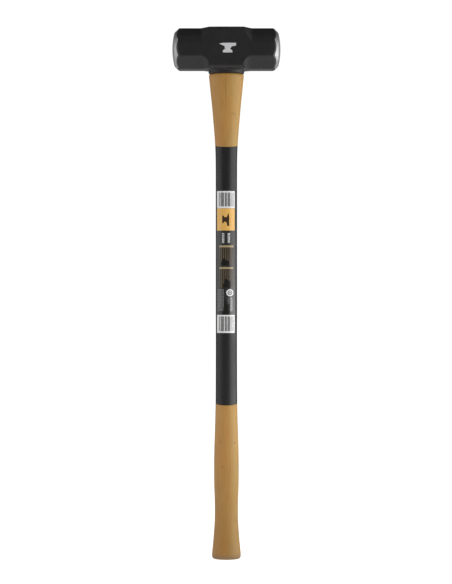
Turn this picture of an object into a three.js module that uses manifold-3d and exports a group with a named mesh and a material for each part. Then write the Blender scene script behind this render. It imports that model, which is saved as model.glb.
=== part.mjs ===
// Long-handled, double-faced sledgehammer. Millimetres.
// +Z runs up the handle to the head, +X runs along the head, -Y is the side that carries the label.
// The origin is the centre of the butt end, which is the lowest point.

import * as THREE from 'three';
import { mergeVertices } from 'three/addons/utils/BufferGeometryUtils.js';
import Module from 'manifold-3d';

const wasm = await Module();
wasm.setup();

// ---------- driving dimensions ----------

const overallHeight = 914.4; // 36 inches from the butt to the top of the head
const touchGap = 0.3; // clearance left between two pieces that touch
const aroundSteps = 40; // facets around every turned or oval shape

const headLength = 186.6;
const headAcrossFlats = 71.2;
const faceFlatRadius = 7; // ground flat in the middle of each crowned striking face
const crownRadius = 115;
const crownEdgeRadius = 26.5; // where the crown meets the rounded shoulder of the bevel
const bevelShoulderRadius = 8;
const bevelAngle = THREE.MathUtils.degToRad(46); // slope of the bevel from the face plane
const runOutExit = 29; // half length of the full square cheek block, at its lower corners
const upperRampStart = 30; // the two upper corners run out in a straight ramp instead
const upperRampEnd = 44;
const cheekChamfer = 4.4; // on the two lower edges of the cheek block
const eyeBossHeight = 6.2;
const eyeBossWidth = 61.8;
const eyeBossDepth = 48;
const eyeBossRounding = 1.2;

const buttRounding = 5;
const neckRounding = 3;
const neckTopWidth = 60.2;
const neckTopDepth = 46;

const wedgeDepth = 56; // how far the wooden wedge reaches down into the tenon
const wedgeTopThickness = 7;
const wedgeTipThickness = 1.6;
const steelWedgeDepth = 30;
const steelWedgeLength = 22;
const steelWedgeTopThickness = 3;
const steelWedgeTipThickness = 0.9;
const steelWedgeBarbs = 3;
const steelWedgeBarbStep = 0.35;
const steelWedgeOffset = 10; // from the middle of the eye to each steel wedge

const sleeveLow = 269;
const sleeveHigh = 713;
const sleeveThickness = 0.5;
const sleeveTilt = 0.2; // both sleeve ends sit lower at the front: rise per millimetre of depth

const labelLow = 390;
const labelHigh = 634.8;
const labelWidth = 31.2;
const labelThickness = 0.25;

// ---------- derived places ----------

const headCentre = overallHeight - headAcrossFlats / 2;
const headBottom = overallHeight - headAcrossFlats;
const shoulderHeight = headBottom - eyeBossHeight - touchGap;

// ---------- oval rings of the handle: [height, width, depth] ----------

const gripAndNeckStations = [
  [buttRounding, 49.9, 42],
  [11, 49.7, 41.8],
  [25, 46.8, 39],
  [42, 44, 36.5],
  [60, 41.4, 34.4],
  [80, 40.2, 33.4],
  [104, 40.9, 34],
  [130, 42.6, 35.4],
  [160, 42.8, 35.6],
  [187, 42.1, 35.2],
  [215, 40.3, 34.2],
  [250, 38.3, 33],
  [300, 37.1, 32.4],
  [450, 36.9, 32.2],
  [640, 37, 32.2],
  [694, 37.6, 32.4],
  [725, 40.4, 33.4],
  [756, 45.4, 36],
  [784, 50.4, 39],
  [811, 56, 42.6],
  [shoulderHeight - neckRounding, neckTopWidth, neckTopDepth],
];

const tenonRings = [
  [shoulderHeight, 41, 29],
  [headBottom, 40.2, 28.4],
  [headCentre, 38, 26.6],
  [overallHeight, 42.5, 30.5],
];

// ---------- small tools ----------

// A closed three.js geometry becomes a solid once its shared corners are merged.
function toSolid(geometry) {
  const bare = geometry.clone();
  bare.deleteAttribute('normal');
  bare.deleteAttribute('uv');
  const merged = mergeVertices(bare, 1e-4);
  const corners = merged.index.array;
  const kept = [];
  for (let i = 0; i < corners.length; i += 3) {
    const [a, b, c] = [corners[i], corners[i + 1], corners[i + 2]];
    if (a !== b && b !== c && c !== a) kept.push(a, b, c);
  }
  return new wasm.Manifold(new wasm.Mesh({
    numProp: 3,
    vertProperties: new Float32Array(merged.attributes.position.array),
    triVerts: new Uint32Array(kept),
  }));
}

function toMesh(name, solid, material) {
  const { numProp, vertProperties, triVerts } = solid.getMesh();
  const geometry = new THREE.BufferGeometry();
  const stored = new THREE.InterleavedBuffer(new Float32Array(vertProperties), numProp);
  geometry.setAttribute('position', new THREE.InterleavedBufferAttribute(stored, 3, 0));
  geometry.setIndex(new THREE.BufferAttribute(new Uint32Array(triVerts), 1));
  geometry.computeVertexNormals();
  const mesh = new THREE.Mesh(geometry, material);
  mesh.name = name;
  return mesh;
}

// A shape turned about Z, then flattened so that each ring is an oval of its own width and depth.
// A ring of no width is the closing point on the axis.
function ovalTurning(rings, inset = 0) {
  const halfSizes = rings.map(([, width, depth]) => (
    width === 0 ? [0, 0] : [width / 2 - inset, depth / 2 - inset]
  ));
  const outline = rings.map(([height], i) => new THREE.Vector2(halfSizes[i][0], height));
  const geometry = new THREE.LatheGeometry(outline, aroundSteps);
  const position = geometry.attributes.position;
  for (let i = 0; i < position.count; i += 1) {
    const [halfWidth, halfDepth] = halfSizes[i % rings.length];
    if (halfWidth > 0) position.setZ(i, (position.getZ(i) * halfDepth) / halfWidth);
  }
  return geometry.rotateX(Math.PI / 2);
}

// Rings of a quarter-round edge: the inset shrinks or grows along an arc of the given radius.
function roundedEdge(height, width, depth, radius, direction) {
  const rings = [];
  const steps = 4;
  for (let step = 0; step <= steps; step += 1) {
    const angle = (Math.PI / 2) * (step / steps);
    const inset = radius * (1 - Math.sin(angle));
    const rise = radius * (1 - Math.cos(angle));
    rings.push([height + direction * rise, width - 2 * inset, depth - 2 * inset]);
  }
  return direction > 0 ? rings : rings.reverse();
}

// Extra rings between the stations on one smooth curve.
function smoothRings(stations, stepsBetween) {
  const curve = new THREE.CatmullRomCurve3(
    stations.map((station) => new THREE.Vector3(...station)),
    false,
    'catmullrom',
    0.5,
  );
  const count = (stations.length - 1) * stepsBetween;
  const rings = [];
  for (let i = 0; i <= count; i += 1) rings.push(curve.getPoint(i / count).toArray());
  return rings;
}

// A thick slab across the handle between two heights, sheared so that its faces drop to the front.
function tiltedSlab(low, high) {
  const across = 140;
  const slab = new THREE.BoxGeometry(across, across, high - low);
  slab.translate(0, 0, (low + high) / 2);
  const position = slab.attributes.position;
  for (let i = 0; i < position.count; i += 1) {
    position.setZ(i, position.getZ(i) + sleeveTilt * position.getY(i));
  }
  return toSolid(slab);
}

// A tapered plate standing in the XZ plane, thick at the top, centred on its length along Y.
function taperedPlate(topThickness, tipThickness, low, high, length, growth) {
  const halfTop = topThickness / 2 + growth;
  const halfTip = tipThickness / 2 + growth;
  const outline = new THREE.Shape([
    new THREE.Vector2(-halfTip, low),
    new THREE.Vector2(halfTip, low),
    new THREE.Vector2(halfTop, high),
    new THREE.Vector2(-halfTop, high),
  ]);
  const plate = new THREE.ExtrudeGeometry(outline, { depth: length, bevelEnabled: false });
  return plate.translate(0, 0, -length / 2).rotateX(Math.PI / 2);
}

// ---------- the handle ----------

function handleRings() {
  const [, buttWidth, buttDepth] = gripAndNeckStations[0];
  const buttEdge = roundedEdge(0, buttWidth, buttDepth, buttRounding, 1);
  const body = smoothRings(gripAndNeckStations, 2);
  const neckEdge = roundedEdge(shoulderHeight, neckTopWidth, neckTopDepth, neckRounding, -1);
  return [
    [0, 0, 0],
    ...buttEdge.slice(0, -1),
    ...body,
    ...neckEdge.slice(1),
    ...tenonRings,
    [overallHeight, 0, 0],
  ];
}

function handleBlank(inset) {
  return toSolid(ovalTurning(handleRings(), inset));
}

// Longer than the eye, so that the tenon's own outline trims its ends.
function woodWedgePlate(growth) {
  const low = overallHeight - wedgeDepth - growth;
  const length = 1.5 * eyeBossWidth;
  const plate = taperedPlate(wedgeTopThickness, wedgeTipThickness, low, overallHeight, length, growth);
  return toSolid(plate.rotateZ(Math.PI / 2));
}

function steelWedgeSlot(side) {
  const slot = taperedPlate(
    steelWedgeTopThickness,
    steelWedgeTipThickness,
    overallHeight - steelWedgeDepth - touchGap,
    overallHeight,
    steelWedgeLength + 2 * touchGap,
    touchGap + steelWedgeBarbStep,
  );
  return toSolid(slot.translate(side * steelWedgeOffset, 0, 0));
}

function makeHandle() {
  const sleeveSeat = tiltedSlab(sleeveLow - touchGap, sleeveHigh + touchGap)
    .subtract(handleBlank(sleeveThickness + touchGap));
  return handleBlank(0)
    .subtract(sleeveSeat)
    .subtract(woodWedgePlate(touchGap))
    .subtract(steelWedgeSlot(-1))
    .subtract(steelWedgeSlot(1));
}

// ---------- wedges ----------

function makeWoodWedge() {
  const tenonEnvelope = toSolid(ovalTurning([
    [shoulderHeight, 0, 0],
    ...tenonRings,
    [overallHeight, 0, 0],
  ]));
  return woodWedgePlate(0)
    .intersect(tenonEnvelope)
    .subtract(steelWedgeSlot(-1))
    .subtract(steelWedgeSlot(1));
}

// Each flank of the steel wedge is a saw profile: every barb swells a little, then steps back in.
function steelWedgeFlank(side) {
  const flank = [];
  const addPoint = (share, proud) => {
    const thickness = THREE.MathUtils.lerp(steelWedgeTipThickness, steelWedgeTopThickness, share);
    const height = overallHeight - steelWedgeDepth * (1 - share);
    flank.push(new THREE.Vector2(side * (thickness / 2 + proud), height));
  };
  for (let barb = 0; barb < steelWedgeBarbs; barb += 1) {
    addPoint(barb / steelWedgeBarbs, 0);
    addPoint((barb + 1) / steelWedgeBarbs, steelWedgeBarbStep);
  }
  return flank;
}

function makeSteelWedge(side) {
  const outline = new THREE.Shape([...steelWedgeFlank(1), ...steelWedgeFlank(-1).reverse()]);
  const plate = new THREE.ExtrudeGeometry(outline, { depth: steelWedgeLength, bevelEnabled: false });
  plate.translate(0, 0, -steelWedgeLength / 2).rotateX(Math.PI / 2);
  return toSolid(plate.translate(side * steelWedgeOffset, 0, 0));
}

// ---------- black grip sleeve and label ----------

function makeSleeve() {
  return handleBlank(0)
    .intersect(tiltedSlab(sleeveLow, sleeveHigh))
    .subtract(handleBlank(sleeveThickness));
}

function makeLabel() {
  const reach = 60;
  const window = new THREE.BoxGeometry(labelWidth, reach, labelHigh - labelLow);
  window.translate(0, -reach / 2, (labelLow + labelHigh) / 2);
  return handleBlank(-touchGap - labelThickness)
    .intersect(toSolid(window))
    .subtract(handleBlank(-touchGap));
}

// ---------- the head ----------

// Everything inside the two crowned faces and their turned bevels.
function turnedEnvelope() {
  const halfLength = headLength / 2;
  const outerRadius = 52;
  const flatAngle = Math.asin(faceFlatRadius / crownRadius);
  const crownAngle = Math.asin(crownEdgeRadius / crownRadius);
  const crownCentre = halfLength - crownRadius * Math.cos(flatAngle);
  const outline = [new THREE.Vector2(0, halfLength), new THREE.Vector2(faceFlatRadius, halfLength)];
  const crownSteps = 4;
  for (let step = 1; step <= crownSteps; step += 1) {
    const angle = THREE.MathUtils.lerp(flatAngle, crownAngle, step / crownSteps);
    outline.push(new THREE.Vector2(
      crownRadius * Math.sin(angle),
      crownCentre + crownRadius * Math.cos(angle),
    ));
  }
  const shoulderSteps = 4;
  const shoulderCentre = outline.at(-1).clone().sub(new THREE.Vector2(
    bevelShoulderRadius * Math.sin(crownAngle),
    bevelShoulderRadius * Math.cos(crownAngle),
  ));
  for (let step = 1; step <= shoulderSteps; step += 1) {
    const angle = THREE.MathUtils.lerp(crownAngle, bevelAngle, step / shoulderSteps);
    outline.push(new THREE.Vector2(
      shoulderCentre.x + bevelShoulderRadius * Math.sin(angle),
      shoulderCentre.y + bevelShoulderRadius * Math.cos(angle),
    ));
  }
  const shoulder = outline.at(-1);
  outline.push(new THREE.Vector2(
    outerRadius,
    shoulder.y - (outerRadius - shoulder.x) * Math.tan(bevelAngle),
  ));
  const otherEnd = outline.map(({ x, y }) => new THREE.Vector2(x, -y));
  const lathe = new THREE.LatheGeometry([...otherEnd, ...outline.reverse()], aroundSteps);
  return toSolid(lathe.rotateZ(-Math.PI / 2).translate(0, 0, headCentre));
}

// Cuts one long corner of the square bar down to an octagon facet. Beside the cheek, a lower
// facet ends in a quarter-round run-out and an upper one in a straight ramp.
function cornerCutter(end, facetAngle, isUpper) {
  const flatDistance = headAcrossFlats / 2;
  const cutDepth = flatDistance * (Math.SQRT2 - 1);
  const cornerDistance = flatDistance + cutDepth;
  const start = isUpper ? upperRampStart : runOutExit;
  const beyond = headLength;
  const outside = flatDistance * 2;
  const outline = new THREE.Shape();
  outline.moveTo(beyond, flatDistance);
  outline.lineTo(beyond, outside);
  outline.lineTo(start, outside);
  outline.lineTo(start, cornerDistance);
  if (isUpper) {
    outline.lineTo(upperRampEnd, flatDistance);
  } else {
    outline.absarc(start + cutDepth, cornerDistance, cutDepth, Math.PI, 1.5 * Math.PI, false);
  }
  outline.closePath();
  const width = headAcrossFlats;
  const cutter = new THREE.ExtrudeGeometry(outline, { depth: width, bevelEnabled: false, curveSegments: 7 });
  cutter.translate(0, 0, -width / 2);
  if (end < 0) cutter.rotateY(Math.PI);
  return toSolid(cutter.rotateX(facetAngle).translate(0, 0, headCentre));
}

// A square bar turned onto its corner removes the chamfer along a lower edge of the cheek.
function cheekChamferCutter(side) {
  const cutter = new THREE.BoxGeometry(headLength, cheekChamfer * Math.SQRT2, cheekChamfer * Math.SQRT2);
  cutter.rotateX(Math.PI / 4);
  return toSolid(cutter.translate(0, (side * headAcrossFlats) / 2, headBottom));
}

function eyeBoss() {
  const overlap = 10;
  const edge = roundedEdge(headBottom - eyeBossHeight, eyeBossWidth, eyeBossDepth, eyeBossRounding, 1);
  return toSolid(ovalTurning([
    [headBottom - eyeBossHeight, 0, 0],
    ...edge,
    [headBottom + overlap, eyeBossWidth, eyeBossDepth],
    [headBottom + overlap, 0, 0],
  ]));
}

// The eye is waisted in the middle, so that the wedged tenon can't pull out.
function eyeCutter() {
  const beyond = 5;
  const [, lowWidth, lowDepth] = tenonRings[0];
  const [topHeight, topWidth, topDepth] = tenonRings.at(-1);
  return toSolid(ovalTurning([
    [shoulderHeight - beyond, 0, 0],
    [shoulderHeight - beyond, lowWidth, lowDepth],
    ...tenonRings,
    [topHeight + beyond, topWidth, topDepth],
    [topHeight + beyond, 0, 0],
  ], -touchGap));
}

function makeHead() {
  const bar = new THREE.BoxGeometry(headLength, headAcrossFlats, headAcrossFlats);
  let head = toSolid(bar.translate(0, 0, headCentre));
  for (const end of [-1, 1]) {
    for (let quarter = 0; quarter < 4; quarter += 1) {
      const facetAngle = Math.PI / 4 + (quarter * Math.PI) / 2;
      head = head.subtract(cornerCutter(end, facetAngle, quarter < 2));
    }
  }
  for (const side of [-1, 1]) head = head.subtract(cheekChamferCutter(side));
  return head.intersect(turnedEnvelope()).add(eyeBoss()).subtract(eyeCutter());
}

// ---------- materials and assembly ----------

const blackPaint = new THREE.MeshStandardMaterial({ color: 0x2a292b, roughness: 0.38, metalness: 0.1 });
const hickory = new THREE.MeshStandardMaterial({ color: 0xb98d55, roughness: 0.5, metalness: 0 });
const wedgeWood = new THREE.MeshStandardMaterial({ color: 0xc9a877, roughness: 0.7, metalness: 0 });
const wedgeSteel = new THREE.MeshStandardMaterial({ color: 0x8b8e91, roughness: 0.4, metalness: 1 });
const blackFilm = new THREE.MeshStandardMaterial({ color: 0x1f1f20, roughness: 0.45, metalness: 0 });
const labelFilm = new THREE.MeshStandardMaterial({ color: 0xd9b04f, roughness: 0.3, metalness: 0 });

const sledgehammer = new THREE.Group();
sledgehammer.name = 'sledgehammer';
sledgehammer.add(
  toMesh('head', makeHead(), blackPaint),
  toMesh('handle', makeHandle(), hickory),
  toMesh('wood_wedge', makeWoodWedge(), wedgeWood),
  toMesh('steel_wedge_left', makeSteelWedge(-1), wedgeSteel),
  toMesh('steel_wedge_right', makeSteelWedge(1), wedgeSteel),
  toMesh('grip_sleeve', makeSleeve(), blackFilm),
  toMesh('label', makeLabel(), labelFilm),
);

export default sledgehammer;
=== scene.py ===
"""Long-handled sledgehammer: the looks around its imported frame.

Metres, in the frame's own axes: +Z up the handle, +X along the head, -Y the label's side.
"""

import math

import bmesh
import bpy
import numpy as np
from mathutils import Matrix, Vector, noise


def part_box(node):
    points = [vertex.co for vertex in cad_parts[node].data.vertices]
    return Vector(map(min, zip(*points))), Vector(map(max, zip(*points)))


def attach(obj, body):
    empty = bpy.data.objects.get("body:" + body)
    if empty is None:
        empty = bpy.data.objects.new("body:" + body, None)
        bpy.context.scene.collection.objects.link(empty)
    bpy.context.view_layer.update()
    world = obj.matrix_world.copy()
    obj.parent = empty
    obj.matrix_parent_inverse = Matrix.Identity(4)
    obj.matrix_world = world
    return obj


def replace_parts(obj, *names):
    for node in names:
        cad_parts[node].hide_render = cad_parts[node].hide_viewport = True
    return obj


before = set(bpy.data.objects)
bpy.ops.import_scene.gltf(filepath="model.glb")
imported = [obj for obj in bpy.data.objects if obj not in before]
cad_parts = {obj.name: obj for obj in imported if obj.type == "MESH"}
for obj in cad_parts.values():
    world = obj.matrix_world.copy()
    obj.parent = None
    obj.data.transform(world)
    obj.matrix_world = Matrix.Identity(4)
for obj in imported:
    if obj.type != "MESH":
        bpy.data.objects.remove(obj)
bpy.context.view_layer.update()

MM = 0.001
FAR = 1.0  # a radius beyond everything on the head

# ---------- places read from the frame ----------

HEAD_LOW, HEAD_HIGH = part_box("head")
HANDLE_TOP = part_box("handle")[1].z
SLEEVE_LOW, SLEEVE_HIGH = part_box("grip_sleeve")
LABEL_LOW, LABEL_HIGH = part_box("label")
WEDGE_LOW, WEDGE_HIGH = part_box("wood_wedge")

SKIN = 0.1 * MM  # the finished head stays this far inside the CAD head
HEAD_HALF = HEAD_HIGH.x - SKIN
HALF_FLATS = HEAD_HIGH.y - SKIN
HEAD_MIDDLE = HEAD_HIGH.z - HEAD_HIGH.y
HEAD_BOTTOM = HEAD_MIDDLE - HALF_FLATS
CORNER_CUT = HALF_FLATS * (math.sqrt(2) - 1)  # depth of a corner facet below the square corner

# ---------- driving sizes of the fine shapes ----------

FACE_FLAT_RADIUS = 7 * MM
CROWN_RADIUS = 115 * MM
CROWN_EDGE = 26.5 * MM  # radius at which the crown meets the shoulder of the bevel
BEVEL_SHOULDER = 8 * MM
BEVEL_ANGLE = math.radians(46)
BEVEL_BLEND = 0.25 * MM
RUN_OUT_EXIT = 29 * MM  # half length of the square cheek block, at its lower corners
UPPER_RAMP_START = 30 * MM  # its two upper corners run out in a straight ramp instead
UPPER_RAMP_END = 44 * MM
RAMP_BLEND = 2 * MM
CHEEK_CHAMFER = 4.4 * MM
EDGE_BLEND = 1.6 * MM  # softness of the forged edges
UPPER_EDGE_BLEND = 11 * MM  # the long edges under the upper facets are much rounder
UPPER_EDGE_PLACE = math.radians(63)  # where that rounding is greatest, from straight up
UPPER_EDGE_SPREAD = math.radians(22)
CHEEK_SHARE = 0.2  # how much of that rounding reaches over the cheek block
PAINTED_BEVEL = 2.3 * MM  # how far the paint reaches over the bevel's edge
STEEL_STARTS = 76 * MM  # no bare steel nearer to the middle of the head than this
FORGED_RELIEF = 0.16 * MM
BOSS_HALF_WIDTH = 30.9 * MM
BOSS_HALF_DEPTH = 24 * MM
EYE_CLEARANCE = 0.3 * MM
EYE_RIM = 1.1 * MM  # chamfer round the mouth of the eye

SLEEVE_TILT = 0.2  # both sleeve ends sit lower at the front
SLEEVE_THICKNESS = 0.35 * MM
SEAT_DEPTH = 0.5 * MM
SEAT_RAMP = 0.8 * MM
WOOD_RELIEF = 0.13 * MM
WOOD_MARKS = [  # centre, reach and strength of small knots, dark flecks and one mineral streak
    ((14.5 * MM, -11 * MM, 201 * MM), (2.2 * MM, 4 * MM, 1.7 * MM), 0.95),
    ((-11 * MM, -14 * MM, 203 * MM), (1.4 * MM, 4 * MM, 3 * MM), 0.5),
    ((-7 * MM, -16 * MM, 160 * MM), (1.2 * MM, 4 * MM, 3.6 * MM), 0.55),
    ((10 * MM, -15 * MM, 768 * MM), (3.4 * MM, 6 * MM, 1 * MM), 0.6),
    ((13.6 * MM, -15 * MM, 766 * MM), (3 * MM, 6 * MM, 1 * MM), 0.6),
    ((-1.2 * MM, -20 * MM, 811 * MM), (0.9 * MM, 6 * MM, 44 * MM), 0.5),
]

LABEL_TURN = math.radians(-5.2)  # the label sits a little left of the middle
LABEL_HALF_ANGLE = math.radians(55.4)
LABEL_LIFT = 0.04 * MM
LABEL_THICKNESS = 0.12 * MM
PRINT_LIFT = 0.01 * MM
PRINT_THICKNESS = 0.03 * MM

HICKORY_LIGHT = (0.535, 0.295, 0.084)
HICKORY_DARK = (0.41, 0.207, 0.049)
WEDGE_WOOD_LIGHT = (0.62, 0.45, 0.25)
WEDGE_WOOD_DARK = (0.42, 0.28, 0.14)
RING_WIDTH = 3.1 * MM  # of the wood's growth rings
PITH = (21 * MM, 74 * MM, 0.0)  # the middle of the rings, well behind the handle
RUDDY_TINT = (0.88, 0.7, 0.62)  # each tint multiplies the light or the dark tone of the wood
OLIVE_TINT = (0.7, 0.74, 0.8)
# tint of the right side: partly sapwood, partly painted colour of the side the key light falls on
SAPWOOD_AND_LIT_SIDE_TINT = (0.93, 1.07, 0.95)
# tint that darkens the handle towards the butt
LOWER_HANDLE_TINT = (0.38, 0.32, 0.15)
# painted shade round the butt's lower edge
BUTT_SHADE_TINT = (0.4, 0.47, 0.85)
FLECK_TINT = (0.34, 0.25, 0.2)

ROOM_RADIANCE = 0.39
CEILING_RADIANCE = 0.15
CEILING_WAY = (0, 0.8, 1)  # the darker part of the room lies above and behind
CEILING_FADE = (0.65, 1.0)  # how far that way the darkening starts and ends
BACKDROP_WHITE = 1.05  # seen by the camera only
FLOOR_WHITE = 0.95
FLOOR_GLOW = 0.58


# ---------- mesh helpers ----------

def link_mesh(name, mesh, material, smooth_angle=30):
    """A new object on the root body, smooth except across edges sharper than the angle."""
    piece = bpy.data.objects.new(name, mesh)
    bpy.context.scene.collection.objects.link(piece)
    mesh.materials.append(material)
    mesh.shade_smooth()
    mesh.set_sharp_from_angle(angle=math.radians(smooth_angle))
    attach(piece, "root")
    return piece


def skin_of_rings(name, rings):
    """A closed skin through rings of points, with a centre point closing each end."""
    rings = np.asarray(rings, float)
    ring_count, around, _ = rings.shape
    points = np.concatenate([rings.reshape(-1, 3), [rings[0].mean(0), rings[-1].mean(0)]])
    first_centre = ring_count * around
    last_centre = first_centre + 1
    last_ring = (ring_count - 1) * around
    faces = []
    for step in range(around):
        after = (step + 1) % around
        for row in range(0, last_ring, around):
            faces.append((row + step, row + after, row + around + after, row + around + step))
        faces.append((first_centre, after, step))
        faces.append((last_centre, last_ring + step, last_ring + after))
    mesh = bpy.data.meshes.new(name)
    mesh.from_pydata(points.tolist(), [], faces)
    mesh.validate()
    return outward(mesh)


def outward(mesh):
    """The same mesh with its faces turned to point outwards."""
    shape = bmesh.new()
    shape.from_mesh(mesh)
    bmesh.ops.recalc_face_normals(shape, faces=shape.faces)
    shape.to_mesh(mesh)
    shape.free()
    return mesh


def combine(mesh, cutters):
    """The mesh after one boolean step for each (operation, mesh of the other shape)."""
    body = bpy.data.objects.new("body", mesh)
    bpy.context.scene.collection.objects.link(body)
    helpers = []
    for operation, other in cutters:
        helper = bpy.data.objects.new("helper", other)
        bpy.context.scene.collection.objects.link(helper)
        helpers.append(helper)
        modifier = body.modifiers.new("step", "BOOLEAN")
        modifier.operation = operation
        modifier.solver = "MANIFOLD"
        modifier.object = helper
    depsgraph = bpy.context.evaluated_depsgraph_get()
    result = bpy.data.meshes.new_from_object(body.evaluated_get(depsgraph))
    for leftover in [body, *helpers]:
        bpy.data.objects.remove(leftover)
    result.materials.clear()
    return result


def oval_rings(heights, half_widths, half_depths, around):
    """Level oval rings round the Z axis."""
    turn = np.arange(around) * 2 * math.pi / around
    rings = np.empty((len(heights), around, 3))
    rings[:, :, 0] = np.outer(half_widths, np.sin(turn))
    rings[:, :, 1] = -np.outer(half_depths, np.cos(turn))
    rings[:, :, 2] = np.asarray(heights)[:, None]
    return rings


def soft_min(first, second, blend):
    """The smaller of two distances, rounded where they meet."""
    closeness = np.clip(0.5 + 0.5 * (second - first) / blend, 0, 1)
    return second + (first - second) * closeness - blend * closeness * (1 - closeness)


def relief(points, scale):
    """Smooth noise from -1 to 1 at each point, with features of about 1 / scale metres."""
    return np.array([noise.noise(Vector(point * scale)) for point in points])


# ---------- the oval of the handle at any height, read from the frame ----------

def cad_rings():
    """(height, half width, half depth) of each full ring of the CAD handle and sleeve."""
    full_ring = 200
    levels = {}
    for node in ("handle", "grip_sleeve"):
        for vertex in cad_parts[node].data.vertices:
            levels.setdefault(round(vertex.co.z, 5), []).append(vertex.co)
    return np.array([
        (height, max(abs(p.x) for p in points), max(abs(p.y) for p in points))
        for height, points in sorted(levels.items())
        if len(points) >= full_ring
    ])


def smooth_curve(places, values, at):
    """A cubic curve through the values that doesn't overshoot them."""
    step = np.diff(places)
    slope = np.diff(values) / step
    middle = np.where(
        slope[:-1] * slope[1:] > 0,
        2 * slope[:-1] * slope[1:] / np.where(slope[:-1] + slope[1:] == 0, 1, slope[:-1] + slope[1:]),
        0,
    )
    tangent = np.concatenate([[slope[0]], middle, [slope[-1]]])
    i = np.clip(np.searchsorted(places, at, side="right") - 1, 0, len(step) - 1)
    t = (at - places[i]) / step[i]
    return (
        (1 + 2 * t) * (1 - t) ** 2 * values[i]
        + t * (1 - t) ** 2 * step[i] * tangent[i]
        + t * t * (3 - 2 * t) * values[i + 1]
        + t * t * (t - 1) * step[i] * tangent[i + 1]
    )


CAD_RINGS = cad_rings()
SHOULDER = CAD_RINGS[CAD_RINGS[:, 0] < HEAD_LOW.z][-1, 0]
BODY_RINGS = CAD_RINGS[CAD_RINGS[:, 0] <= SHOULDER]
TENON_RINGS = CAD_RINGS[CAD_RINGS[:, 0] > SHOULDER]
TENON_RINGS[-1, 1] = WEDGE_HIGH.x  # the kerf cuts through the widest points of the top ring


def body_oval(heights):
    """Half width and half depth of the handle's oval at heights below its shoulder."""
    heights = np.asarray(heights, float)
    places = BODY_RINGS[:, 0]
    return (
        smooth_curve(places, BODY_RINGS[:, 1], heights),
        smooth_curve(places, BODY_RINGS[:, 2], heights),
    )


def tenon_oval(heights):
    """The same for the tenon, above the shoulder."""
    return (
        np.interp(heights, TENON_RINGS[:, 0], TENON_RINGS[:, 1]),
        np.interp(heights, TENON_RINGS[:, 0], TENON_RINGS[:, 2]),
    )


# ---------- material helper ----------

class Shader:
    """One material's nodes, with short calls for the kinds that are used here."""

    def __init__(self, name, constants):
        self.material = bpy.data.materials.new(name)
        self.material.use_nodes = True
        self.nodes = self.material.node_tree.nodes
        self.links = self.material.node_tree.links
        self.principled = self.nodes["Principled BSDF"]
        for socket, value in constants.items():
            self.principled.inputs[socket].default_value = value
        self.place = self.add("ShaderNodeTexCoord", output="Object")

    def put(self, value, socket):
        if isinstance(value, bpy.types.NodeSocket):
            self.links.new(value, socket)
        else:
            socket.default_value = value

    def add(self, kind, inputs=None, output=0, **settings):
        node = self.nodes.new(kind)
        for key, value in settings.items():
            setattr(node, key, value)
        for key, value in (inputs or {}).items():
            self.put(value, node.inputs[key])
        return node.outputs[output]

    def set(self, socket, value):
        self.put(value, self.principled.inputs[socket])

    def math(self, operation, first, second=0.0):
        return self.add("ShaderNodeMath", {0: first, 1: second}, operation=operation)

    def vector(self, operation, first, second=(0, 0, 0), output=0):
        return self.add("ShaderNodeVectorMath", {0: first, 1: second}, output, operation=operation)

    def part(self, vector, axis):
        return self.add("ShaderNodeSeparateXYZ", {0: vector}, axis)

    def stretched(self, scale):
        return self.vector("MULTIPLY", self.place, scale)

    def noise(self, scale, detail=2.0, roughness=0.5, output=0, vector=None):
        where = vector if vector is not None else self.stretched(scale)
        return self.add(
            "ShaderNodeTexNoise",
            {"Vector": where, "Scale": 1.0, "Detail": detail, "Roughness": roughness},
            output,
        )

    def remap(self, value, low, high, to_low=0.0, to_high=1.0):
        return self.add("ShaderNodeMapRange", {0: value, 1: low, 2: high, 3: to_low, 4: to_high})

    def ramp(self, factor, stops):
        output = self.add("ShaderNodeValToRGB", {0: factor})
        elements = output.node.color_ramp.elements
        while len(elements) < len(stops):
            elements.new(0.5)
        for element, (position, colour) in zip(elements, stops):
            element.position = position
            element.color = (*colour, 1.0)
        return output

    def mix(self, factor, first, second, blend="MIX"):
        first, second = (
            (*c, 1.0) if isinstance(c, tuple) and len(c) == 3 else c for c in (first, second)
        )
        return self.add(
            "ShaderNodeMix", {0: factor, 6: first, 7: second}, 2, data_type="RGBA", blend_type=blend
        )

    def bump(self, height, distance, below=None):
        inputs = {"Height": height, "Distance": distance, "Strength": 1.0}
        if below is not None:
            inputs["Normal"] = below
        return self.add("ShaderNodeBump", inputs)


# ---------- materials ----------

def tinted(colour, tint):
    return tuple(channel * share for channel, share in zip(colour, tint))


def growth_rings(shader):
    """Pale bands with a dark line between them, round a pith that wanders along the handle."""
    drift = shader.noise((14, 14, 2.6), detail=3.0, output="Color")
    wander = shader.vector("MULTIPLY", shader.vector("SUBTRACT", drift, (0.5, 0.5, 0.5)), (0.03, 0.03, 0))
    flat_place = shader.vector("MULTIPLY", shader.place, (1, 1, 0))
    from_pith = shader.vector("SUBTRACT", shader.vector("ADD", flat_place, wander), PITH)
    distance = shader.vector("LENGTH", from_pith, output="Value")
    phase = shader.math("FRACT", shader.math("DIVIDE", distance, RING_WIDTH))
    stops = ((0.0, 0.3), (0.1, 0.6), (0.45, 0.95), (0.86, 0.78), (1.0, 0.3))
    return shader.ramp(phase, [(position, (tone,) * 3) for position, tone in stops])


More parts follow.
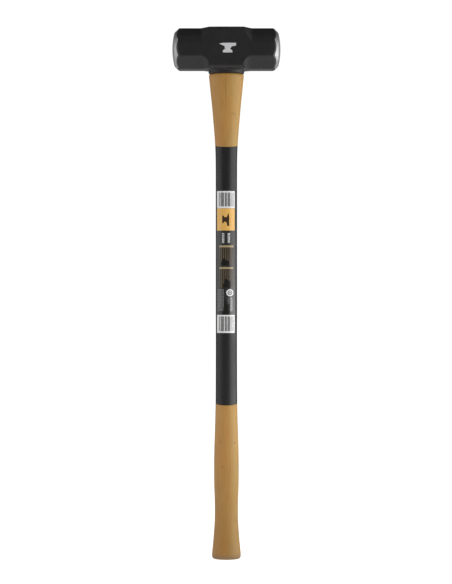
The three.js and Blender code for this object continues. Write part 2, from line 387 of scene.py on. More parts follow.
def wood_colour(shader, fibres, light, dark):
    """The two tones mixed by rings, fibres and clouds, then ruddy and olive patches, a yellower right side
    that is partly sapwood and partly painted colour of the lit side, darkening towards the butt, and
    painted shade at the butt's lower edge.
    """
    clouds = shader.remap(shader.noise((30, 30, 9), detail=3.0), 0.32, 0.68)
    patches = shader.remap(shader.noise((24, 24, 11), detail=2.0), 0.38, 0.64)
    grey_patches = shader.remap(shader.noise((34, 34, 17), detail=1.0), 0.5, 0.66)
    tone = shader.mix(0.42, shader.remap(fibres, 0.3, 0.7), growth_rings(shader))
    colour = shader.mix(shader.mix(0.34, tone, clouds), dark, light)
    ruddy = shader.math("MULTIPLY", patches, 0.55)
    colour = shader.mix(ruddy, colour, tinted(light, RUDDY_TINT))
    olive = shader.math("MULTIPLY", grey_patches, 0.4)
    colour = shader.mix(olive, colour, tinted(light, OLIVE_TINT))
    # yellower right side: partly sapwood, partly painted colour of the lit side
    ragged_side = shader.math("MULTIPLY", clouds, 6 * MM)
    side = shader.math("ADD", shader.part(shader.place, "X"), ragged_side)
    sapwood_and_lit_side = shader.mix(shader.remap(side, 4 * MM, 17 * MM), (1.0, 1.0, 1.0), SAPWOOD_AND_LIT_SIDE_TINT)
    colour = shader.mix(1.0, colour, sapwood_and_lit_side, "MULTIPLY")
    height = shader.part(shader.place, "Z")
    # the wood grows darker from 200 mm down to 45 mm above the butt
    lower_handle = shader.remap(height, 200 * MM, 45 * MM, 0.0, 0.42)
    colour = shader.mix(lower_handle, colour, tinted(light, LOWER_HANDLE_TINT))
    # painted shade: the lowest 11 mm of the handle darkened, where the floor below lights it less
    butt_shade = shader.math("MULTIPLY", shader.remap(height, 11 * MM, 4 * MM), 0.8)
    return shader.mix(butt_shade, colour, tinted(light, BUTT_SHADE_TINT))


def wood_marks(shader, pores):
    """How dark each place is marked, by open pores or by one of the small knots and flecks."""
    marks = shader.math("MULTIPLY", pores, 0.3)
    for centre, reach, strength in WOOD_MARKS:
        away = shader.vector("DIVIDE", shader.vector("SUBTRACT", shader.place, centre), reach)
        spot = shader.remap(shader.vector("LENGTH", away, output="Value"), 1.0, 0.3)
        marks = shader.math("MAXIMUM", marks, shader.math("MULTIPLY", spot, strength))
    return marks


def wood_material(name, light, dark, coat=0.05):
    """Straight-grained hickory: growth rings as a solid pattern, open pores, fibres and a clear coat."""
    shader = Shader(name, {"Coat Weight": coat, "Coat Roughness": 0.3, "Specular IOR Level": 0.32})
    pores = shader.remap(shader.noise((1500, 1500, 34), detail=2.0), 0.58, 0.72)
    fibres = shader.noise((520, 520, 8), detail=4.0, roughness=0.65)
    colour = wood_colour(shader, fibres, light, dark)
    marks = wood_marks(shader, pores)
    shader.set("Base Color", shader.mix(marks, colour, tinted(dark, FLECK_TINT)))
    shader.set("Roughness", shader.remap(fibres, 0.2, 0.8, 0.36, 0.5))
    grain = shader.math("SUBTRACT", shader.math("MULTIPLY", fibres, 0.35), pores)
    shader.set("Normal", shader.bump(grain, 0.035 * MM))
    shader.set("Coat Normal", shader.bump(fibres, 0.012 * MM))
    return shader.material


def head_material():
    """Black paint, with bare ground steel on the crowned faces and their bevels."""
    shader = Shader("black_paint_and_ground_steel", {"Specular IOR Level": 0.36})
    offset = shader.vector("ABSOLUTE", shader.vector("SUBTRACT", shader.place, (0, 0, HEAD_MIDDLE)))
    along = shader.part(offset, "X")
    across = shader.vector("LENGTH", shader.vector("MULTIPLY", offset, (0, 1, 1)), output="Value")
    flats = shader.math("MAXIMUM", shader.part(offset, "Y"), shader.part(offset, "Z"))
    facets = shader.vector("DOT_PRODUCT", offset, (0, math.sqrt(0.5), math.sqrt(0.5)), output="Value")
    raggedness = shader.math("MULTIPLY", shader.noise((260, 260, 260), detail=3.0), 0.7 * MM)
    octagon = shader.math("ADD", shader.math("MAXIMUM", flats, facets), raggedness)
    edge = HALF_FLATS - PAINTED_BEVEL
    inside = shader.remap(octagon, edge + 0.1 * MM, edge)
    near_face = shader.math("GREATER_THAN", along, STEEL_STARTS)
    bare = shader.math("MULTIPLY", inside, near_face)

    turning = shader.noise(None, detail=3.0, roughness=0.7, vector=shader.add(
        "ShaderNodeCombineXYZ", {"X": shader.math("MULTIPLY", across, 900.0)},
    ))
    scratches = shader.noise((90, 700, 260), detail=3.0, roughness=0.7)
    steel = shader.mix(shader.remap(turning, 0.3, 0.7), (0.3, 0.3, 0.305), (0.46, 0.46, 0.465))
    paint_tone = shader.remap(shader.noise((60, 60, 60), detail=3.0), 0.3, 0.7)
    paint = shader.mix(paint_tone, (0.011, 0.011, 0.0115), (0.0155, 0.015, 0.0158))
    shader.set("Base Color", shader.mix(bare, paint, steel))
    shader.set("Metallic", bare)
    steel_rough = shader.remap(scratches, 0.3, 0.7, 0.42, 0.56)
    paint_rough = shader.remap(shader.noise((180, 180, 180), detail=4.0), 0.3, 0.7, 0.34, 0.46)
    shader.set("Roughness", shader.add("ShaderNodeMix", {0: bare, 2: paint_rough, 3: steel_rough}))
    peel = shader.noise((420, 420, 420), detail=2.0)
    forged = shader.noise((45, 45, 45), detail=3.0)
    paint_height = shader.math("ADD", shader.math("MULTIPLY", peel, 0.3), forged)
    steel_height = shader.math("ADD", turning, shader.math("MULTIPLY", scratches, 0.5))
    height = shader.add("ShaderNodeMix", {
        0: bare,
        2: shader.math("MULTIPLY", paint_height, 0.12 * MM),
        3: shader.math("MULTIPLY", steel_height, 0.012 * MM),
    })
    shader.set("Normal", shader.bump(height, 1.0))
    return shader.material


def film_material(name, colour, roughness, coat=0.0, grime=0.15):
    """Thin printed or plain film: even colour, slight scuffing and a soft unevenness."""
    shader = Shader(name, {"Coat Weight": coat, "Coat Roughness": 0.12, "Specular IOR Level": 0.36})
    scuffs = shader.noise((700, 700, 60), detail=4.0, roughness=0.7)
    clouds = shader.noise((50, 50, 16), detail=2.0)
    worn = tuple(c * (1 + grime) + 0.004 for c in colour)
    shader.set("Base Color", shader.mix(shader.remap(scuffs, 0.4, 0.75), colour, worn))
    shader.set("Roughness", shader.remap(clouds, 0.3, 0.7, roughness - 0.05, roughness + 0.06))
    ripples = shader.bump(clouds, 0.1 * MM)
    shader.set("Normal", shader.bump(scuffs, 0.01 * MM, below=ripples))
    return shader.material


# Colour and roughness of each film and ink on the label, then its coat and grime where given.
LABEL_FILMS = {
    "label_film": ((0.016, 0.016, 0.016), 0.28, 0.35),
    "white_print": ((0.79, 0.79, 0.79), 0.3, 0.25, 0.02),
    "grey_print": ((0.2, 0.2, 0.2), 0.3, 0.3),
    "yellow_print": ((0.8, 0.46, 0.11), 0.3, 0.25, 0.03),
    "brown_print": ((0.024, 0.015, 0.006), 0.3, 0.2),
    "straw_print": ((0.36, 0.28, 0.15), 0.3, 0.3),
    "stripe_print": ((0.15, 0.12, 0.08), 0.3, 0.2),
    "mark_print": ((0.04, 0.018, 0.006), 0.3, 0.15),
    "ink": ((0.03, 0.028, 0.026), 0.3, 0.25),
    "shade_print": ((0.004, 0.004, 0.002), 0.3),
}


def wedge_steel_material():
    """Cut bar steel with a driven, slightly rusted top."""
    shader = Shader("wedge_steel", {"Metallic": 1.0})
    mottle = shader.noise((500, 500, 200), detail=4.0, roughness=0.7)
    shader.set("Base Color", shader.ramp(mottle, [(0.3, (0.2, 0.17, 0.15)), (0.7, (0.5, 0.5, 0.5))]))
    shader.set("Roughness", shader.remap(mottle, 0.3, 0.7, 0.6, 0.38))
    shader.set("Normal", shader.bump(mottle, 0.08 * MM))
    return shader.material


def floor_material():
    """Pale floor: white to the camera, and to the light a soft pool under the object that fades out."""
    shader = Shader("pale_floor", {"Roughness": 0.8, "Specular IOR Level": 0.1})
    mottle = shader.noise((3, 3, 3), detail=2.0)
    shader.set("Base Color", shader.mix(mottle, (0.8, 0.8, 0.8), (0.84, 0.84, 0.84)))
    shader.set("Emission Color", (1.0, 1.0, 1.0, 1.0))
    away = shader.vector("LENGTH", shader.place, output="Value")
    pool_edge, pool_end = 0.8, 3.5
    pool = shader.remap(away, pool_edge, pool_end, FLOOR_GLOW, 0.0)
    seen = shader.add("ShaderNodeLightPath", output="Is Camera Ray")
    shader.set("Emission Strength", shader.add("ShaderNodeMix", {0: seen, 2: pool, 3: FLOOR_WHITE}))
    return shader.material


# ---------- the head ----------

def head_profile():
    """(x, radius) along the turned end, outwards from the end of the bevel's rounded shoulder."""
    flat_angle = math.asin(FACE_FLAT_RADIUS / CROWN_RADIUS)
    crown_angle = math.asin(CROWN_EDGE / CROWN_RADIUS)
    crown_centre = HEAD_HALF - CROWN_RADIUS * math.cos(flat_angle)
    crown = [
        (crown_centre + CROWN_RADIUS * math.cos(a), CROWN_RADIUS * math.sin(a))
        for a in np.linspace(flat_angle, crown_angle, 16)
    ]
    edge_x, edge_radius = crown[-1]
    turn_x = edge_x - BEVEL_SHOULDER * math.cos(crown_angle)
    turn_radius = edge_radius - BEVEL_SHOULDER * math.sin(crown_angle)
    shoulder = [
        (turn_x + BEVEL_SHOULDER * math.cos(a), turn_radius + BEVEL_SHOULDER * math.sin(a))
        for a in np.linspace(crown_angle, BEVEL_ANGLE, 12)[1:]
    ]
    flat = [(HEAD_HALF, radius) for radius in np.linspace(0.1, 0.9, 5) * FACE_FLAT_RADIUS]
    return (flat + crown + shoulder)[::-1]


def lower_run_out(x):
    """How far the two lower facets lie from the head's axis, rising to nothing cut at the cheek."""
    into = np.clip(RUN_OUT_EXIT + CORNER_CUT - np.abs(x), 0, CORNER_CUT)
    facet = HALF_FLATS + CORNER_CUT - np.sqrt(CORNER_CUT**2 - into**2)
    return np.where(np.abs(x) < RUN_OUT_EXIT, 2 * HALF_FLATS, facet)


def upper_run_out(x):
    """The same for the two upper facets, which end in a straight ramp."""
    rise = CORNER_CUT * (UPPER_RAMP_END - np.abs(x)) / (UPPER_RAMP_END - UPPER_RAMP_START)
    return HALF_FLATS - soft_min(-rise, 0, RAMP_BLEND)


def edge_softness(x, angle):
    """Blend distance on the head: large at the upper edges of its flat sides, past the cheek."""
    turn = np.abs((angle + math.pi) % (2 * math.pi) - math.pi)
    nearness = np.exp(-(((turn - UPPER_EDGE_PLACE) / UPPER_EDGE_SPREAD) ** 2))
    down_ramp = (np.abs(x) - UPPER_RAMP_START) / (UPPER_RAMP_END - UPPER_RAMP_START)
    past_cheek = np.clip(down_ramp, CHEEK_SHARE, 1)
    return EDGE_BLEND + (UPPER_EDGE_BLEND - EDGE_BLEND) * nearness * past_cheek


def forged_radius(x, angle):
    """Distance from the head's axis to the forged skin, at x and at an angle from straight up."""
    radius = np.full(np.broadcast(x, angle).shape, FAR)
    grazing = 0.05  # a flat seen at a smaller cosine than this is out of reach
    blend = edge_softness(x, angle)
    chamfer = (2 * HALF_FLATS - CHEEK_CHAMFER) / math.sqrt(2)
    for quarter in range(4):
        flat = np.cos(angle - quarter * math.pi / 2)
        corner = np.cos(angle - (quarter + 0.5) * math.pi / 2)
        is_lower = quarter in (1, 2)
        facet = np.minimum(lower_run_out(x), chamfer) if is_lower else upper_run_out(x)
        for distance, facing in ((HALF_FLATS, flat), (facet, corner)):
            reach = np.where(facing > grazing, distance / np.maximum(facing, grazing), FAR)
            radius = soft_min(radius, reach, blend)
    return radius


def head_rows():
    """(x, radius of the turned envelope) of every ring, from the left face to the right one."""
    end = head_profile()
    shoulder_x, shoulder_radius = end[0]
    cone_end = 80 * MM
    cone = [
        (x, shoulder_radius + (shoulder_x - x) / math.tan(BEVEL_ANGLE))
        for x in np.arange(cone_end, shoulder_x, 0.32 * MM)
    ]
    facets = [(x, FAR) for x in np.arange(46 * MM, cone_end - 0.5 * MM, 2.4 * MM)]
    run_out = [(x, FAR) for x in np.arange(27.6 * MM, 45.5 * MM, 0.4 * MM)]
    cheek = [(x, FAR) for x in np.arange(0.9 * MM, 27 * MM, 1.8 * MM)]
    right = cheek + run_out + facets + cone + end
    return [(-x, radius) for x, radius in right[::-1]] + right


def make_head_skin():
    around = 288
    angle = np.arange(around) * 2 * math.pi / around
    rows = np.array(head_rows())
    x = rows[:, 0:1]
    forged = forged_radius(x, angle[None, :])
    radius = soft_min(rows[:, 1:2] + 0 * angle, forged, BEVEL_BLEND)
    points = np.stack([
        x + 0 * radius,
        -radius * np.sin(angle),
        HEAD_MIDDLE + radius * np.cos(angle),
    ], axis=2)
    flat_points = points.reshape(-1, 3)
    is_forged = (forged < rows[:, 1:2]).reshape(-1)
    away_from_mark = np.clip((np.abs(flat_points[:, 0]) - 18 * MM) / (8 * MM), 0, 1)
    dents = 0.65 * relief(flat_points, 70) + 0.35 * relief(flat_points, 210)
    inward = FORGED_RELIEF * np.clip(0.4 + 0.6 * dents, 0, 1) * is_forged * away_from_mark
    axis_place = flat_points * (0, 1, 1) - (0, 0, HEAD_MIDDLE)
    outward_way = axis_place / np.linalg.norm(axis_place, axis=1, keepdims=True)
    flat_points -= outward_way * inward[:, None]
    return skin_of_rings("head_skin", flat_points.reshape(points.shape))


def make_boss():
    """The raised collar of the eye under the head, with a rounded lower edge and a root fillet."""
    root = HEAD_BOTTOM
    low = HEAD_LOW.z + 0.02 * MM
    rounding = 1.6 * MM
    fillet = 2.5 * MM
    inside_head = root + 12 * MM
    flatness = 0.8  # the fillet reaches out a little less than it reaches down
    turn = np.linspace(0, math.pi / 2, 7)
    lower_edge = low + rounding * (1 - np.cos(turn))
    filleted = root - fillet + fillet * np.sin(turn)
    heights = [*lower_edge, *filleted, inside_head]
    grow = np.array([
        *(-rounding * (1 - np.sin(turn))), *(fillet * (1 - np.cos(turn)) * flatness), fillet,
    ])
    rings = oval_rings(heights, BOSS_HALF_WIDTH + grow, BOSS_HALF_DEPTH + grow, 144)
    return skin_of_rings("boss", rings)


def make_eye_cutter():
    beyond = 6 * MM
    top = HEAD_HIGH.z
    heights = np.array([
        HEAD_LOW.z - beyond, HEAD_LOW.z, HEAD_BOTTOM, HEAD_MIDDLE, top - EYE_RIM, top, top + beyond,
    ])
    half_width, half_depth = tenon_oval(heights)
    flare = np.array([0, 0, 0, 0, 0, EYE_RIM, EYE_RIM]) + EYE_CLEARANCE
    return skin_of_rings("eye", oval_rings(heights, half_width + flare, half_depth + flare, 120))


def make_head(material):
    mesh = combine(make_head_skin(), [("UNION", make_boss()), ("DIFFERENCE", make_eye_cutter())])
    head = link_mesh("sledge_head", mesh, material, smooth_angle=38)
    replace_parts(head, "head")


# ---------- the handle ----------

def sleeve_end(middle_height, depth_place):
    """Height of a tilted sleeve end at a place in front of the handle's axis or behind it."""
    return middle_height + SLEEVE_TILT * depth_place


def sleeve_ends():
    """Heights of the sleeve's two ends on the handle's axis."""
    low_depth = body_oval([SLEEVE_LOW.z])[1][0]
    high_depth = body_oval([SLEEVE_HIGH.z])[1][0]
    return SLEEVE_LOW.z + SLEEVE_TILT * low_depth, SLEEVE_HIGH.z - SLEEVE_TILT * high_depth


def handle_heights():
    """Rows of the handle's skin: close together at the butt, the shoulder and the sleeve's ends."""
    butt_reach, neck_reach, seat_reach = 8 * MM, 6 * MM, 5 * MM
    coarse_step, seat_step = 2.6 * MM, 0.35 * MM
    butt = np.linspace(0, 1, 22) ** 2 * butt_reach
    neck = SHOULDER - np.linspace(0, 1, 20) ** 2 * neck_reach
    coarse = np.arange(butt_reach, SHOULDER - neck_reach, coarse_step)
    ends = sleeve_ends()
    seats = [np.arange(middle - seat_reach, middle + seat_reach, seat_step) for middle in ends]
    outside = [coarse[np.abs(coarse - middle) > seat_reach] for middle in ends]
    kept = np.intersect1d(*outside)
    return np.unique(np.round(np.concatenate([butt, kept, neck, *seats]), 6))


def seat_inset(points):
    """How deep the wood is turned down under the sleeve, ramping in at both tilted ends."""
    low, high = sleeve_ends()
    above = points[:, 2] - sleeve_end(low, points[:, 1])
    below = sleeve_end(high, points[:, 1]) - points[:, 2]
    return SEAT_DEPTH * np.clip(np.minimum(above, below) / SEAT_RAMP + 1, 0, 1)


def make_handle_skin():
    around = 120
    heights = handle_heights()
    body = oval_rings(heights, *body_oval(heights), around)
    flat_points = body.reshape(-1, 3)
    way = flat_points * (1, 1, 0)
    way /= np.linalg.norm(way, axis=1, keepdims=True)
    long_grain = flat_points * (1, 1, 0.25)
    waviness = 0.7 * relief(long_grain, 60) + 0.3 * relief(long_grain, 240)
    ends_off = np.clip(flat_points[:, 2] / (12 * MM), 0, 1)
    inset = seat_inset(flat_points) - WOOD_RELIEF * waviness * ends_off
    flat_points -= way * inset[:, None]
    tenon_heights = np.array([SHOULDER, *TENON_RINGS[:, 0]])
    tenon = oval_rings(tenon_heights, *tenon_oval(tenon_heights), around)
    return skin_of_rings("handle_skin", [*flat_points.reshape(body.shape), *tenon])


def tapered_cutter(centre_x, half_long, half_top, half_tip, low, high, long_axis):
    """A wedge-shaped cutter, standing on its thin edge."""
    shape = bmesh.new()
    corners = []
    for height, half_thick in ((low, half_tip), (high, half_top)):
        for long_side, thick_side in ((-1, -1), (1, -1), (1, 1), (-1, 1)):
            long_place, thick_place = long_side * half_long, thick_side * half_thick
            place = (long_place, thick_place) if long_axis == "X" else (thick_place, long_place)
            corners.append(shape.verts.new((centre_x + place[0], place[1], height)))
    for face in ((0, 1, 2, 3), (4, 5, 6, 7), (0, 1, 5, 4), (1, 2, 6, 5), (2, 3, 7, 6), (3, 0, 4, 7)):
        shape.faces.new([corners[i] for i in face])
    mesh = bpy.data.meshes.new("cutter")
    shape.to_mesh(mesh)
    shape.free()
    return outward(mesh)


def make_handle(material):
    """Butt to tenon in one piece, with the kerf and the slots that the wedges are driven into."""
    clearance = 0.15 * MM
    beyond = 2 * MM
    wedge_half = WEDGE_HIGH.y
    kerf_tip = 0.8 * MM
    high = HANDLE_TOP + beyond
    cutters = [tapered_cutter(
        0, 2 * WEDGE_HIGH.x, wedge_half + clearance, kerf_tip + clearance,
        WEDGE_LOW.z - clearance, high, "X",
    )]
    for side in ("left", "right"):
        low_corner, high_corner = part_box(f"steel_wedge_{side}")
        half_thick = (high_corner.x - low_corner.x) / 2
        cutters.append(tapered_cutter(
            (high_corner.x + low_corner.x) / 2, high_corner.y + clearance,
            half_thick + clearance, half_thick / 2, low_corner.z - clearance, high, "Y",
        ))
    mesh = combine(make_handle_skin(), [("DIFFERENCE", cutter) for cutter in cutters])
    handle = link_mesh("hickory_handle", mesh, material, smooth_angle=35)
    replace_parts(handle, "handle")


# ---------- black sleeve ----------

def tube_mesh(name, outer, inner):
    """A closed tube from two stacks of rings with the same number of rings and points."""
    outer, inner = np.asarray(outer), np.asarray(inner)
    loop = np.concatenate([outer, inner[::-1]])
    count, around, _ = loop.shape
    faces = []
    for row in range(count):
        after_row = (row + 1) % count
        for step in range(around):
            after = (step + 1) % around
            faces.append((
                row * around + step, row * around + after,
                after_row * around + after, after_row * around + step,
            ))
    mesh = bpy.data.meshes.new(name)
    mesh.from_pydata(loop.reshape(-1, 3).tolist(), [], faces)
    return outward(mesh)


def make_sleeve(material):
    around = 144
    low, high = sleeve_ends()
    share = np.linspace(0, 1, 170)
    heights = low + (high - low) * share
    half_width, half_depth = body_oval(heights)
    layers = []
    for inset in (0.0, SLEEVE_THICKNESS):
        rings = oval_rings(heights, half_width - inset, half_depth - inset, around)
        points = rings.reshape(-1, 3)
        ripple = 0.05 * MM * relief(points * (1, 1, 0.4), 120)
        way = points * (1, 1, 0)
        points += way / np.linalg.norm(way, axis=1, keepdims=True) * ripple[:, None]
        edge_wave = 0.25 * MM * relief(points * (1, 1, 0), 60)
        points[:, 2] += SLEEVE_TILT * points[:, 1] + edge_wave
        layers.append(rings)
    sleeve = link_mesh("black_sleeve", tube_mesh("black_sleeve", *layers), material)
    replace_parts(sleeve, "grip_sleeve")


# ---------- label ----------

PANEL_MARGIN = 0.2 * MM  # black film left showing beside each panel
PICTURE_LEFT = 5.8 * MM
PICTURE_RIGHT = 30.2 * MM
BARCODE_SEED = 402
BARS_AND_GAPS = 25
LABEL_ARC = 17.3 * MM  # mean radius of the shaft under the label
LABEL_WIDTH = 2 * LABEL_HALF_ANGLE * LABEL_ARC
LABEL_TOP = LABEL_HIGH.z
LABEL_LENGTH = LABEL_HIGH.z - LABEL_LOW.z


def wrap_on_label(vertices, lift):
    """Bends a flat print round the shaft: across from the label's left edge, down from its top, proud."""
    across, down, proud = np.array([vertex.co for vertex in vertices]).T
    turn = across / LABEL_ARC - LABEL_HALF_ANGLE + LABEL_TURN
    half_width, half_depth = body_oval(LABEL_TOP - down)
    for vertex, *place in zip(
        vertices,
        (half_width + lift + proud) * np.sin(turn),
        -(half_depth + lift + proud) * np.cos(turn),
        LABEL_TOP - down,
    ):
        vertex.co = place


class Print:
    """Flat shapes of one colour, drawn in label coordinates and then wrapped round the shaft."""

    def __init__(self, name, material, slot, layer=1, thickness=PRINT_THICKNESS):
        self.name, self.material, self.slot = name, material, slot
        self.lift = LABEL_LIFT
        if layer:
            self.lift += LABEL_THICKNESS + PRINT_LIFT + (layer - 1) * (PRINT_THICKNESS + PRINT_LIFT)
        self.thickness = thickness
        self.shape = bmesh.new()

    def outline(self, points):
        self.shape.faces.new([self.shape.verts.new((a, d, 0)) for a, d in points])

    def patch(self, left, right, top, bottom):
        self.outline([(left, top), (right, top), (right, bottom), (left, bottom)])

    def ring(self, across, down, inner, outer):
        steps = 40
        turns = [2 * math.pi * i / steps for i in range(steps + 1)]
        for first, second in zip(turns, turns[1:]):
            self.outline([
                (across + radius * math.cos(turn), down + radius * math.sin(turn))
                for radius, turn in ((inner, first), (outer, first), (outer, second), (inner, second))
            ])

    def finish(self):
        shape = self.shape
        bmesh.ops.remove_doubles(shape, verts=shape.verts, dist=0.001 * MM)
        for axis, length, step in ((0, LABEL_WIDTH, 1.6 * MM), (1, LABEL_LENGTH, 16 * MM)):
            for place in np.arange(step, length, step):
                cut = Vector([place if axis == i else 0 for i in range(3)])
                everything = [*shape.verts, *shape.edges, *shape.faces]
                bmesh.ops.bisect_plane(shape, geom=everything, dist=1e-7, plane_co=cut, plane_no=cut)
        top = bmesh.ops.extrude_face_region(shape, geom=shape.faces[:], use_keep_orig=True)["geom"]
        raised = [part for part in top if isinstance(part, bmesh.types.BMVert)]
        bmesh.ops.translate(shape, verts=raised, vec=(0, 0, self.thickness))
        wrap_on_label(shape.verts[:], self.lift)
        bmesh.ops.recalc_face_normals(shape, faces=shape.faces)
        mesh = bpy.data.meshes.new(self.name)
        shape.to_mesh(mesh)
        shape.free()
        piece = link_mesh(self.name, mesh, self.material, smooth_angle=25)
        return piece


def bar_widths(total):
    """Alternating bar and gap widths that fill a barcode, the same every run."""
    random = np.random.default_rng(BARCODE_SEED)
    modules = random.choice([1, 1, 2, 3], size=BARS_AND_GAPS)
    return modules * total / modules.sum()


def add_barcode(white, ink, top, bottom):
    """A white panel with meaningless bars along the shaft."""
    white.patch(PANEL_MARGIN, LABEL_WIDTH - PANEL_MARGIN, top, bottom)
    left, right = 5.2 * MM, 30.4 * MM
    margin_top, margin_bottom = 2.6 * MM, 3.0 * MM
    place = left
    for i, width in enumerate(bar_widths(right - left)):
        if i % 2 == 0:
            ink.patch(place, place + width, top + margin_top, bottom - margin_bottom)
        place += width


ANVIL = [
    (-1.0, 0.42), (-0.42, 0.5), (1.0, 0.5), (1.0, 0.22), (0.5, 0.14), (0.3, -0.12),
    (0.56, -0.3), (0.56, -0.5), (-0.56, -0.5), (-0.56, -0.3), (-0.3, -0.12), (-0.36, 0.16),
]


# Dark shapes: millimetres across the label, and up from the lower edge of the picture or label.
LOW_HEAP = [
    (8.6, 0.6), (8.2, 4.5), (10.6, 7.2), (11.6, 11.4), (14.8, 12.6),
    (17.4, 9.6), (21.4, 8.6), (23.2, 5), (23.2, 0.6),
]
TALL_HEAP = [
    (13.4, 0.6), (12.6, 6), (14.6, 9), (15.4, 14.6), (18.4, 16.4),
    (21, 13), (24.6, 12.4), (26.2, 6), (25.2, 0.6),
]
DARK_SHAPE = [
    (12.4, 32), (13.4, 42), (14.8, 55), (17.4, 58), (18.6, 50),
    (21.4, 46), (20.2, 40), (23.4, 36.6), (22.4, 32),
]


def add_dashes(layer, lines, top, bottom, width, seed):
    """Rows of short dashes along the shaft, standing for print too small to read."""
    random = np.random.default_rng(seed)
    for across in lines:
        place = top
        while place < bottom:
            length = random.uniform(1.2, 4.2) * MM
            end = min(place + length, bottom)
            layer.patch(across, across + width, place, end)
            place = end + random.uniform(0.5, 0.9) * MM


# Piece, film, slot and layer of each print, in the order in which they lie on the sheet.
LABEL_PRINTS = [
    ("label_white_print", "white_print", "white_print", 1),
    ("label_grey_print", "grey_print", "white_print", 1),
    ("label_yellow_print", "yellow_print", "colour_print", 1),
    ("label_brown_print", "brown_print", "colour_print", 1),
    ("label_ink", "ink", "black_film", 2),
    ("label_straw_print", "straw_print", "colour_print", 2),
    ("label_anvil_mark", "mark_print", "colour_print", 2),
    ("label_fine_print", "stripe_print", "colour_print", 2),
    ("label_picture_shade", "shade_print", "black_film", 3),
]


def draw_panels(prints):
    """A barcode at each end, and a yellow panel with an anvil lying along the shaft."""
    white, ink = prints["white_print"], prints["ink"]
    add_barcode(white, ink, 0.8 * MM, 30.2 * MM)
    add_barcode(white, ink, LABEL_LENGTH - 31.1 * MM, LABEL_LENGTH - 0.2 * MM)
    prints["yellow_print"].patch(PANEL_MARGIN, LABEL_WIDTH - PANEL_MARGIN, 30.6 * MM, 68.6 * MM)
    across, down, size = 17.1 * MM, 49.4 * MM, 11.4 * MM
    prints["mark_print"].outline([(across + y * size, down + x * size) for x, y in ANVIL])


def draw_pictures(prints):
    """Two dim brown pictures, each with a straw band, fine stripes and one dark shape."""
    band, stripe, stripe_step = 3.4 * MM, 0.9 * MM, 3.45 * MM
    for top, bottom, heap in ((94.2 * MM, 129 * MM, LOW_HEAP), (131.4 * MM, 167.4 * MM, TALL_HEAP)):
        prints["brown_print"].patch(PICTURE_LEFT, PICTURE_RIGHT, top, bottom)
        prints["straw_print"].patch(PICTURE_LEFT, PICTURE_RIGHT, top, top + band)
        for across in np.arange(6.5 * MM, 29.5 * MM, stripe_step):
            stripe_top = top + band + 1 * MM
            prints["stripe_print"].patch(across, across + stripe, stripe_top, bottom - 0.8 * MM)
        prints["shade_print"].outline([(across * MM, bottom - rise * MM) for across, rise in heap])


def draw_fine_print(prints):
    """Rows of dashes, a badge of two rings, and the dark shape beside them."""
    white, grey = prints["white_print"], prints["grey_print"]
    add_dashes(white, np.array([11.2, 13.4, 20.6, 22.8]) * MM, 73 * MM, 90 * MM, 1.3 * MM, seed=1)
    badge_across, badge_down = 24.2 * MM, 175.6 * MM
    white.ring(badge_across, badge_down, 3.9 * MM, 6.2 * MM)
    white.ring(badge_across, badge_down, 1.2 * MM, 2.6 * MM)
    add_dashes(grey, np.arange(2.4, 14, 2.05) * MM, 169.4 * MM, 207 * MM, 1.2 * MM, seed=2)
    add_dashes(white, np.array([25.4, 27.2]) * MM, 183.6 * MM, 207 * MM, 0.8 * MM, seed=4)
    add_dashes(grey, np.array([20.6, 22.4]) * MM, 184 * MM, 194 * MM, 0.8 * MM, seed=7)
    prints["shade_print"].outline([
        (across * MM, LABEL_LENGTH - rise * MM) for across, rise in DARK_SHAPE
    ])


def make_label():
    films = {name: film_material(name, *look) for name, look in LABEL_FILMS.items()}
    sheet = Print("label_sheet", films["label_film"], "label_film", layer=0, thickness=LABEL_THICKNESS)
    sheet.patch(0, LABEL_WIDTH, 0, LABEL_LENGTH)
    prints = {film: Print(piece, films[film], slot, layer) for piece, film, slot, layer in LABEL_PRINTS}
    draw_panels(prints)
    draw_pictures(prints)
    draw_fine_print(prints)
    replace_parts(sheet.finish(), "label")
    for layer in prints.values():
        layer.finish()


# ---------- mark on the cheek ----------

def make_cheek_mark(material):
    """A plain anvil figure in white on the front cheek."""
    size_x, size_z = 14.5 * MM, 16.5 * MM
    centre_x, centre_z = 2 * MM, HEAD_MIDDLE - 0.8 * MM
    lift, thickness = 0.01 * MM, 0.05 * MM
    shape = bmesh.new()
    faces = []
    for y in (-HALF_FLATS - lift, -HALF_FLATS - lift - thickness):
        faces.append([
            shape.verts.new((centre_x + x * size_x, y, centre_z + z * size_z)) for x, z in ANVIL
        ])
    back, front = faces
    shape.faces.new(back)
    shape.faces.new(front)
    for i in range(len(ANVIL)):
        after = (i + 1) % len(ANVIL)
        shape.faces.new([back[i], back[after], front[after], front[i]])
    bmesh.ops.recalc_face_normals(shape, faces=shape.faces)
    mesh = bpy.data.meshes.new("cheek_mark")
    shape.to_mesh(mesh)
    shape.free()
    mark = link_mesh("cheek_mark", mesh, material)


# ---------- stage ----------

def make_camera():
    """Level, about half way up the hammer, and far back with a long lens."""
    distance = 3.308
    height = 0.4605
    seen_height = 1.0084
    aside = -0.0007
    data = bpy.data.cameras.new("camera")
    data.sensor_width = 36.0
    data.lens = data.sensor_width * distance / seen_height
    camera = bpy.data.objects.new("camera", data)
    camera.location = (aside, -distance, height)
    camera.rotation_euler = (math.pi / 2, 0, 0)
    bpy.context.scene.collection.objects.link(camera)
    bpy.context.scene.camera = camera


def make_floor():
    """A disc so wide that its edge is never seen."""
    shape = bmesh.new()
    bmesh.ops.create_circle(shape, cap_ends=True, segments=96, radius=30.0)
    mesh = bpy.data.meshes.new("floor")
    shape.to_mesh(mesh)
    shape.free()
    mesh.materials.append(floor_material())
    floor = bpy.data.objects.new("floor", mesh)
    bpy.context.scene.collection.objects.link(floor)


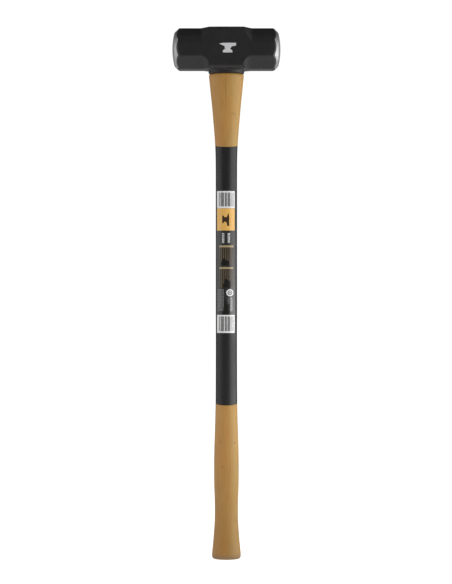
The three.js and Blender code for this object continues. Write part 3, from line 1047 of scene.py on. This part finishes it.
def make_softbox(name, azimuth, low, high, width, radiance):
    """An upright panel of light at a distance, facing the handle; azimuth 0 is the camera's side."""
    distance = 2.3
    turn = math.radians(azimuth)
    data = bpy.data.lights.new(name, "AREA")
    data.shape = "RECTANGLE"
    data.size, data.size_y = width, high - low
    data.energy = radiance * math.pi * width * (high - low)
    light = bpy.data.objects.new(name, data)
    light.location = (distance * math.sin(turn), -distance * math.cos(turn), (low + high) / 2)
    light.rotation_euler = (math.pi / 2, 0, turn)
    light.visible_camera = False
    bpy.context.scene.collection.objects.link(light)


def make_world():
    """White to the camera, and to everything else a grey room that is darker above and behind."""
    world = bpy.data.worlds.new("studio")
    bpy.context.scene.world = world
    world.use_nodes = True
    nodes, links = world.node_tree.nodes, world.node_tree.links
    nodes.clear()
    seen = nodes.new("ShaderNodeBackground")
    seen.inputs["Color"].default_value = (1, 1, 1, 1)
    seen.inputs["Strength"].default_value = BACKDROP_WHITE
    direction = nodes.new("ShaderNodeTexCoord")
    above = nodes.new("ShaderNodeVectorMath")
    above.operation = "DOT_PRODUCT"
    above.inputs[1].default_value = CEILING_WAY
    height = nodes.new("ShaderNodeMapRange")
    height.inputs["From Min"].default_value = CEILING_FADE[0]
    height.inputs["From Max"].default_value = CEILING_FADE[1]
    height.inputs["To Min"].default_value = ROOM_RADIANCE
    height.inputs["To Max"].default_value = CEILING_RADIANCE
    room = nodes.new("ShaderNodeBackground")
    rays = nodes.new("ShaderNodeLightPath")
    choice = nodes.new("ShaderNodeMixShader")
    out = nodes.new("ShaderNodeOutputWorld")
    links.new(direction.outputs["Generated"], above.inputs[0])
    links.new(above.outputs["Value"], height.inputs["Value"])
    links.new(height.outputs[0], room.inputs["Strength"])
    links.new(rays.outputs["Is Camera Ray"], choice.inputs[0])
    links.new(room.outputs[0], choice.inputs[1])
    links.new(seen.outputs[0], choice.inputs[2])
    links.new(choice.outputs[0], out.inputs[0])


def make_stage():
    make_camera()
    make_floor()
    make_world()
    make_softbox("key_right", azimuth=77, low=0.05, high=1.7, width=3.4, radiance=1.78)
    make_softbox("low_right", azimuth=68, low=0.05, high=0.5, width=3.6, radiance=3.8)
    make_softbox("fill_left", azimuth=-80, low=0.05, high=1.7, width=3.0, radiance=1.14)
    make_softbox("behind", azimuth=180, low=0.75, high=1.7, width=2.6, radiance=0.5)
    bpy.context.scene.view_settings.view_transform = "Standard"


# ---------- assembly ----------

def restyle_wedges():
    """The three wedges stay as they are in the frame, with materials of their own."""
    wood = wood_material("wedge_wood", WEDGE_WOOD_LIGHT, WEDGE_WOOD_DARK, coat=0.0)
    steel = wedge_steel_material()
    for node, material in (("wood_wedge", wood), ("steel_wedge_left", steel), ("steel_wedge_right", steel)):
        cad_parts[node].material_slots[0].material = material


def main():
    make_stage()
    make_head(head_material())
    make_handle(wood_material("lacquered_hickory", HICKORY_LIGHT, HICKORY_DARK))
    restyle_wedges()
    make_sleeve(film_material("black_sleeve_film", (0.008, 0.008, 0.008), 0.36))
    make_label()
    make_cheek_mark(film_material("white_paint", (0.62, 0.62, 0.63), 0.4, grime=0.03))


main()
